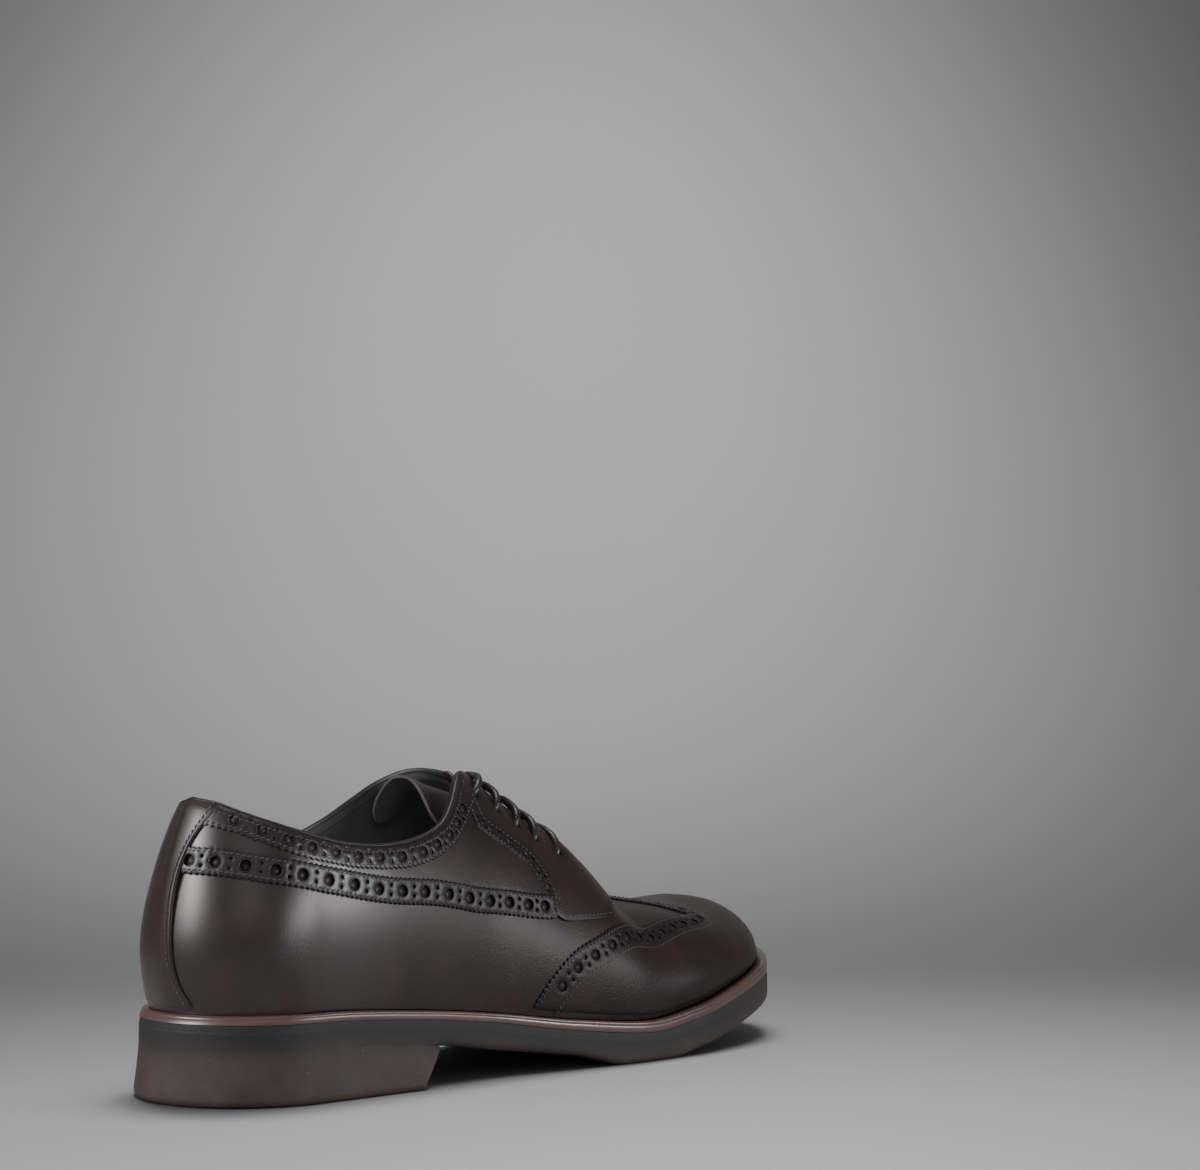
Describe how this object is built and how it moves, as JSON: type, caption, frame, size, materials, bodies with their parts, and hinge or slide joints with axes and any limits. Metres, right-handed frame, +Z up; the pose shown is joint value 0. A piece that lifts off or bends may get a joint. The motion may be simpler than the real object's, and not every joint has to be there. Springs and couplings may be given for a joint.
{
  "type": "brogue derby shoe",
  "caption": "Right derby shoe of polished leather with a wing toe, punched bands, open lacing over a tongue, a welted rubber sole and a low block heel.",
  "frame": {"origin": "on the floor under the middle of the shoe's box", "axes": "+X from heel to toe, +Y to the inner (medial) side, +Z up"},
  "size_m": [0.3018, 0.1036, 0.1095],
  "materials": {
    "leather": "polished dark brown",
    "lining": "smooth black",
    "welt": "burnished reddish brown",
    "sole": "matte dark brown",
    "heel": "matte reddish brown",
    "lace": "round waxed"
  },
  "bodies": {
    "root": {"outsole": "sole", "midsole": "sole", "heel": "heel", "welt": "welt", "insole": "lining", "upper": "leather", "tongue": "leather", "toe_wing": "leather", "quarter_lateral": "leather", "quarter_medial": "leather", "facing_lateral": "leather", "facing_medial": "leather", "quarter_band_lateral": "leather", "quarter_band_medial": "leather", "collar_band_lateral": "leather", "collar_band_medial": "leather", "back_strip": "leather", "lace_bar_1": "lace", "lace_bar_2": "lace", "lace_bar_3": "lace", "lace_bar_4": "lace", "lace_bar_5": "lace"}
  },
  "joints": []
}
